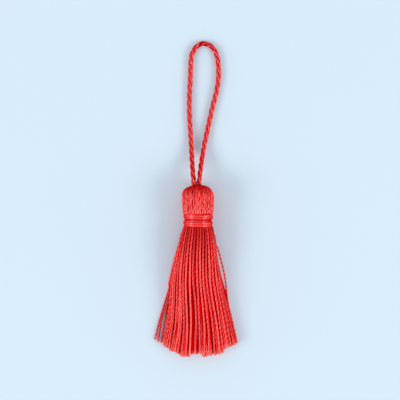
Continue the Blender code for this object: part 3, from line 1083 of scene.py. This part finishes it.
@dataclass
class Skirt:
    """The cut threads: a round bundle under the binding that settles into a low, wide mound."""

    works: ThreadWorks
    finish: bpy.types.Material
    marks: Landmarks
    neck_foot_below_binding: float = 2.075 * MM
    first_station: float = -1.8
    last_station: float = 37.6
    stations: int = 33
    cut_scatter: float = 0.35
    fan_half_width: float = 12.0
    loosens: tuple[float, float] = (0.5, 9.0)
    clump_pitch: float = 1.05
    clump_length: float = 26.0
    clump_level: float = 3.0
    clump_pull: float = 0.95
    long_sway: Sway = Sway(0.34, 13.0, 3.1, 2.0)
    short_sway: Sway = Sway(0.10, 5.5, 4.7, 7.0)
    lift: Sway = Sway(0.34, 6.5, 6.1, 11.0)
    alternate: float = 0.36
    crowding: tuple[float, float] = (0.55, 0.85)
    rounds: int = 60
    push: float = 0.42
    pull: float = 0.04
    easing: float = 0.18
    least_gap: float = 1e-6
    out_of_reach: float = 1e6
    last_stops: tuple[float, ...] = (1.3, 0.7, 0.0)
    last_fray: tuple[float, ...] = (0.15, 0.70, 1.0)
    last_length: float = 1.6
    flare_length: float = 1.0
    tip_flare: float = 1.22
    painted_shade_below_binding: float = 1.25
    painted_shade_span: tuple[float, float] = (0.5, 14.0)
    stray_tone: float = -0.5
    layers: tuple[Layer, ...] = (
        Layer(26, 0.97, 0.00, "skirt_threads_under"),
        Layer(20, 0.80, 0.22, "skirt_threads_under"),
        Layer(22, 0.84, 0.45, "skirt_threads_under"),
        Layer(24, 0.90, 0.64, "skirt_threads_middle"),
        Layer(28, 0.96, 0.82, "skirt_threads_middle"),
        Layer(33, 1.00, 1.00, "skirt_threads_upper"),
    )
    sections: tuple[Section, ...] = (
        # millimetres, apart from settled (0 is the round bundle, 1 a mound on the surface)
        # and thickness, a share of the yarn's own
        Section(-1.8, -2.60, 3.90, 2.85, 0.00, 7.6, 0.74),
        Section(-0.4, -3.05, 4.40, 2.90, 0.00, 7.6, 0.76),
        Section(0.3, -3.30, 4.70, 2.98, 0.00, 7.6, 0.80),
        Section(1.7, -3.85, 5.20, 3.25, 0.07, 7.6, 0.86),
        Section(3.5, -4.45, 5.40, 3.65, 0.20, 7.6, 0.90),
        Section(5.2, -4.90, 5.60, 3.92, 0.35, 7.6, 0.94),
        Section(7.5, -5.48, 6.12, 4.10, 0.55, 7.5, 0.98),
        Section(12.2, -6.70, 7.00, 4.00, 0.80, 7.0, 1.00),
        Section(15.6, -7.50, 7.75, 4.00, 0.95, 6.6, 1.00),
        Section(18.6, -7.62, 8.50, 4.00, 1.00, 6.2, 1.00),
        Section(21.4, -7.80, 9.30, 4.00, 1.00, 5.9, 1.00),
        Section(27.8, -8.30, 10.80, 4.00, 1.00, 5.2, 1.00),
        Section(33.3, -9.65, 12.15, 4.00, 1.00, 4.7, 1.00),
        Section(37.6, -10.90, 13.15, 4.00, 1.00, 4.3, 1.00),
    )
    hem_line: tuple[tuple[float, float], ...] = (
        # (x, along) in millimetres of the line that the ends are cut to
        (-11.8, 32.9), (-10.4, 33.5), (-9.5, 34.4), (-8.7, 34.7), (-7.8, 35.4), (-7.0, 35.4),
        (-5.7, 36.0), (-5.1, 36.0), (-4.7, 37.0), (-1.9, 36.9), (-1.5, 36.2), (1.7, 36.3),
        (2.1, 37.0), (3.0, 37.1), (3.4, 36.6), (5.6, 36.5), (8.2, 35.9), (8.6, 34.8), (9.9, 34.3),
        (11.2, 34.0), (13.4, 33.3),
    )
    strays: tuple[tuple[tuple[float, float, float], ...], ...] = (
        # (along, x, z) in millimetres of each thread that stands apart from the bundle
        (
            (-1.8, -1.9, 3.6), (0.3, -2.8, 3.3), (7.5, -5.15, 2.2), (12.2, -6.38, 1.3),
            (15.0, -7.18, 0.8), (18.0, -7.92, 0.45), (20.9, -8.80, 0.31), (23.6, -9.62, 0.31),
            (27.5, -10.76, 0.31), (32.6, -11.95, 0.31),
        ),
        (
            (-1.8, -1.6, 3.0), (0.3, -2.4, 2.7), (7.5, -4.7, 1.5), (12.2, -5.95, 0.7),
            (15.0, -6.85, 0.35), (18.0, -7.55, 0.50), (20.9, -8.30, 0.70), (23.6, -9.16, 0.60),
            (27.5, -10.10, 0.31), (33.2, -11.08, 0.31),
        ),
        (
            (-1.8, -1.3, 2.7), (0.3, -2.1, 2.3), (7.5, -4.2, 0.8), (12.2, -5.4, 0.35),
            (15.0, -6.35, 0.31), (18.0, -7.10, 0.31), (20.9, -7.70, 0.31), (23.6, -8.38, 0.31),
            (27.5, -9.14, 0.31), (33.5, -10.20, 0.31),
        ),
        (
            (-1.8, 3.1, 4.2), (0.3, 4.1, 4.2), (3.0, 5.1, 4.0), (4.6, 5.8, 3.8), (6.8, 6.6, 3.4),
            (9.1, 7.25, 3.0), (13.2, 8.25, 2.2), (16.5, 8.75, 1.6), (20.1, 9.10, 1.0), (22.5, 9.45, 0.7),
            (26.0, 10.35, 0.4), (33.6, 12.05, 0.29),
        ),
    )
    upper_yarn: Yarn = Yarn(0.64 * MM, 2, 2.80 * MM, Twist.Z_LAY, 0.19, 14, 12, 41)
    middle_yarn: Yarn = Yarn(0.64 * MM, 2, 2.80 * MM, Twist.Z_LAY, 0.19, 11, 12, 42)
    under_yarn: Yarn = Yarn(0.58 * MM, 2, 2.05 * MM, Twist.Z_LAY, 0.13, 6, 8, 43)
    stray_yarn: Yarn = Yarn(0.56 * MM, 2, 2.40 * MM, Twist.Z_LAY, 0.42, 14, 16, 44)
    rng: random.Random = field(default_factory=lambda: random.Random(17))

    def alongs(self) -> np.ndarray:
        """How far along the bundle each station is, in millimetres."""
        return np.linspace(self.first_station, self.last_station, self.stations)

    def section_at(self, along: float) -> Section:
        """The bundle's section at a distance along it, straight between the table's rows."""
        rows = np.array(self.sections)
        return Section(*(float(np.interp(along, rows[:, 0], column)) for column in rows.T))

    def intended_places(self) -> tuple[np.ndarray, np.ndarray, list[Layer]]:
        """Where each thread would lie in an even bundle, before threads press on each other.

        Returns:
            Places (station, thread, x and z) in millimetres, the radius at each station, and
            each thread's layer.
        """
        threads = [
            (layer, number / (layer.threads - 1))
            for layer in self.layers
            for number in range(layer.threads)
        ]
        places = np.zeros((self.stations, len(threads), 2))
        radii = np.zeros(self.stations)
        for station, along in enumerate(self.alongs()):
            section = self.section_at(along)
            radius = self.upper_yarn.diameter / MM / 2 * section.thickness
            radii[station] = radius
            loose = ramp(along, *self.loosens)
            middle = (section.left + section.right) / 2
            half_width = (section.right - section.left) / 2 - radius
            for number, (layer, share) in enumerate(threads):
                straight, around = 2 * share - 1, -math.cos(math.pi * share)
                across = layer.width * (around + (straight - around) * section.settled)
                chord = math.sqrt(1.0 - across**2)
                spacing = 2 * half_width * layer.width / (layer.threads - 1)
                crowded = 1.0 - ramp(spacing, *self.crowding)
                place_in_fan = across * self.fan_half_width / self.clump_pitch
                clump = wave(place_in_fan, along / self.clump_length, self.clump_level * layer.level)
                pull = self.clump_pull * half_width / self.fan_half_width
                x = middle + half_width * across
                x += loose * pull * clump
                x += self.long_sway.at(number, along, loose)
                x += self.short_sway.at(number, along, loose)
                x = min(section.right - radius, max(section.left + radius, x))
                from_axis = (section.round_radius - radius) * chord * (2 * layer.level - 1)
                in_bundle = self.marks.axis_z / MM + from_axis
                in_mound = radius + (section.mound - 2 * radius) * chord * layer.level
                z = in_bundle + (in_mound - in_bundle) * section.settled
                z -= self.alternate * crowded * (number % 2)
                z += self.lift.at(number, along, loose)
                places[station, number] = (x, max(radius, z))
        return places, radii, [layer for layer, share in threads]

    def stray_places(self) -> np.ndarray:
        """The places of the threads that stand apart, at every station."""
        places = np.zeros((self.stations, len(self.strays), 2))
        for number, route in enumerate(self.strays):
            stops, *columns = np.array(route).T
            for axis, column in enumerate(columns):
                places[:, number, axis] = np.interp(self.alongs(), stops, column)
        return places

    def press_apart(self, places: np.ndarray, radii: np.ndarray, held: int) -> np.ndarray:
        """Press threads apart until they lie beside and on each other, as real ones do.

        Args:
            places: Each thread's intended place at each station.
            radii: The threads' radius at each station.
            held: How many of the last threads stay where they are.

        Returns:
            The settled places.
        """
        settled = places.copy()
        count = places.shape[1]
        free = count - held
        own = np.arange(count)
        reach = 2 * radii[:, None, None]
        for _ in range(self.rounds):
            apart = settled[:, :, None, :] - settled[:, None, :, :]
            distance = np.sqrt((apart**2).sum(axis=-1)) + self.least_gap
            distance[:, own, own] = self.out_of_reach
            overlap = np.clip(reach - distance, 0.0, None)
            push = (apart * (self.push * overlap / distance)[..., None]).sum(axis=2)
            settled[:, :free] += push[:, :free]
            settled[:, :free] += self.pull * (places[:, :free] - settled[:, :free])
            eased = (settled[:-2, :free] + settled[2:, :free]) / 2
            settled[1:-1, :free] += self.easing * (eased - settled[1:-1, :free])
            settled[..., 1] = np.maximum(settled[..., 1], radii[:, None])
        return settled

    def cut_at(self, x: float) -> float:
        """How far along the skirt a thread is cut, by where its end lies across the hem."""
        line = np.array(self.hem_line)
        return float(np.interp(x, line[:, 0], line[:, 1]))

    def guide(self, places: np.ndarray, cut: float, tone: float) -> Guide:
        """The guide of one thread from inside the neck to its cut end.

        Args:
            places: The thread's x and z at each station, in millimetres.
            cut: How far along the skirt its end is.
            tone: The thread's own tone, from -1 to 1.

        Returns:
            The thread's guide, a little spread at its cut end, with painted shade that makes it
            darker and less glossy just under the binding.
        """
        alongs = self.alongs()
        stops = [along for along in alongs if along < cut - self.last_length]
        fray = [0.0] * len(stops) + list(self.last_fray)
        stops += [cut - before for before in self.last_stops]
        foot_y = self.marks.binding_y - self.neck_foot_below_binding
        flared = self.upper_yarn.diameter / MM / 2 * self.tip_flare
        points, thickness, tones = [], [], []
        for stop in stops:
            x, z = (float(np.interp(stop, alongs, column)) for column in places.T)
            if stop > cut - self.flare_length:
                z = max(z, flared)
            points.append(Vector((x * MM, foot_y - stop * MM, z * MM)))
            thickness.append(self.section_at(stop).thickness)
            # Painted shade: the tone falls just under the binding.
            tones.append(tone - self.painted_shade_below_binding * (1.0 - ramp(stop, *self.painted_shade_span)))
        thickness[-1] *= self.tip_flare
        return Guide(points, thickness, tones, fray)

    def build(self) -> None:
        """Lay out the skirt, press its threads apart, and spin them in four pieces."""
        places, radii, layers = self.intended_places()
        strays = self.stray_places()
        settled = self.press_apart(np.concatenate([places, strays], axis=1), radii, len(self.strays))
        guides: dict[str, list[Guide]] = {}
        for number, layer in enumerate(layers):
            cut = self.cut_at(settled[-1, number, 0]) + self.rng.uniform(-1, 1) * self.cut_scatter
            thread = self.guide(settled[:, number], cut, self.rng.uniform(-1.0, 1.0))
            guides.setdefault(layer.piece, []).append(thread)
        for number, route in enumerate(self.strays):
            stray = self.guide(settled[:, len(layers) + number], route[-1][0], self.stray_tone)
            guides.setdefault("skirt_threads_stray", []).append(stray)
        pieces = [
            spin_piece(name, self.works.thread_tree, guides[name], yarn, self.finish)
            for name, yarn in (
                ("skirt_threads_stray", self.stray_yarn),
                ("skirt_threads_upper", self.upper_yarn),
                ("skirt_threads_middle", self.middle_yarn),
                ("skirt_threads_under", self.under_yarn),
            )
        ]
        settle_in_frame(pieces, "head_and_skirt", Crevices())


class Lamp(NamedTuple):
    """One oblong light of the studio: its sides and place in metres, and its power in watts."""

    name: str
    sides: tuple[float, float]
    place: tuple[float, float, float]
    power: float


@dataclass
class Studio:
    """The pale surface, the light tent with its two lamps, and the camera that looks straight down."""

    frame_width: float = 115.94 * MM
    frame_middle: tuple[float, float] = (1.217 * MM, 20.42 * MM)
    mid_height: float = 2.5 * MM
    lens: float = 100.0
    sensor: float = 36.0
    surface_size: float = 6.0
    sky: Colour = (0.97, 0.985, 1.0, 1.0)
    lamp_colour: tuple[float, float, float] = (1.0, 0.985, 0.93)
    sky_strength: float = 0.56
    wall_strength: float = 1.40
    far_wall_loss: float = 0.15
    end_wall_loss: float = 0.65
    lamps: tuple[Lamp, ...] = (
        Lamp("left_panel", (1.0, 0.7), (-1.58, -0.62, 1.06), 16.0),
        Lamp("right_panel", (1.0, 0.7), (1.58, -0.62, 1.06), 16.0),
    )

    def place_camera(self) -> None:
        """Set the camera above the tassel, looking straight down with +Y up the picture."""
        camera = bpy.data.cameras.new("camera")
        camera.lens = self.lens
        camera.sensor_width = self.sensor
        distance = self.frame_width / self.sensor * self.lens
        view = put_in_scene("camera", camera)
        view.location = (*self.frame_middle, self.mid_height + distance)
        bpy.context.scene.camera = view

    def lay_surface(self) -> None:
        """Lay the pale blue card that the tassel lies on."""
        half = self.surface_size / 2
        corners = [(-half, -half, 0.0), (half, -half, 0.0), (half, half, 0.0), (-half, half, 0.0)]
        mesh = bpy.data.meshes.new("surface")
        mesh.from_pydata(corners, [], [(0, 1, 2, 3)])
        mesh.materials.append(SurfaceFinish().build())
        put_in_scene("surface", mesh)

    def hang(self, lamp: Lamp) -> None:
        """Hang one oblong light, turned to the tassel and not seen itself."""
        light = bpy.data.lights.new(lamp.name, "AREA")
        light.shape = "RECTANGLE"
        light.size, light.size_y = lamp.sides
        light.energy = lamp.power
        light.color = self.lamp_colour
        holder = put_in_scene(lamp.name, light)
        holder.location = lamp.place
        holder.rotation_euler = (-Vector(lamp.place)).to_track_quat("-Z", "Y").to_euler()
        holder.visible_camera = False

    def light_tent(self) -> bpy.types.World:
        """The pale walls of a light tent: dim overhead and at both ends, and bright at its sides."""
        world = bpy.data.worlds.new("light_tent")
        world.use_nodes = True
        make = TreeMaker(world.node_tree)
        towards = make.add("ShaderNodeTexCoord").outputs["Generated"]
        parts = make.add("ShaderNodeSeparateXYZ", {"Vector": towards}).outputs
        lowness = make.minus(1.0, make.math("ABSOLUTE", parts["Z"]))
        far_loss = make.times(parts["Y"], self.far_wall_loss)
        end_loss = make.times(make.math("ABSOLUTE", parts["Y"]), self.end_wall_loss)
        kept = make.minus(1.0, make.plus(far_loss, end_loss))
        walls = make.times(make.times(lowness, lowness), self.wall_strength)
        walls = make.times(walls, kept)
        glow = {"Color": self.sky, "Strength": make.plus(walls, self.sky_strength)}
        make.feed(world.node_tree.nodes["Background"], glow)
        return world

    def light(self) -> None:
        """Hang the lamps in the light tent."""
        for lamp in self.lamps:
            self.hang(lamp)
        bpy.context.scene.world = self.light_tent()
        bpy.context.scene.view_settings.view_transform = "Standard"


def main() -> None:
    """Build the tassel's pieces round the frame, and the studio that shows them."""
    logging.basicConfig(level=logging.INFO, format="%(name)s: %(message)s")
    bpy.context.view_layer.update()
    marks = Landmarks()
    studio = Studio()
    studio.place_camera()
    works = ThreadWorks()
    relief = ThreadRelief().build()
    skein = SilkFinish(
        "silky_thread", (0.89, 0.005, 0.004, 1.0), (0.84, 0.001, 0.001, 1.0),
        twist_crease_shade=0.44, gloss=1.04,
    ).build(relief)
    fold = SilkFinish(
        "folded_thread", (0.91, 0.006, 0.004, 1.0), (0.72, 0.000, 0.001, 1.0),
        gloss=1.45, gloss_roughness=0.20,
    ).build(relief)
    twine = SilkFinish(
        "twisted_cord", (0.86, 0.003, 0.003, 1.0), (0.40, 0.000, 0.001, 1.0),
        twist_crease_shade=0.10, gloss=1.15, gloss_focus=2.2, edge_gloss=0.0, edge_range=(0.04, 0.28),
        gloss_roughness=0.22, gloss_index=2.5,
    ).build(relief)
    wound = SilkFinish(
        "binding_thread", (0.84, 0.007, 0.004, 1.0), (0.58, 0.000, 0.001, 1.0),
        twist_crease_shade=0.3, gloss=1.2, gloss_roughness=0.18,
    ).build(relief)
    HangingLoop(works, twine).build()
    Head(works, fold, marks).build()
    NeckBinding(works, wound, marks).build()
    Skirt(works, skein, marks).build()
    studio.lay_surface()
    studio.light()
    bpy.context.view_layer.update()


if __name__ == "__main__":
    main()
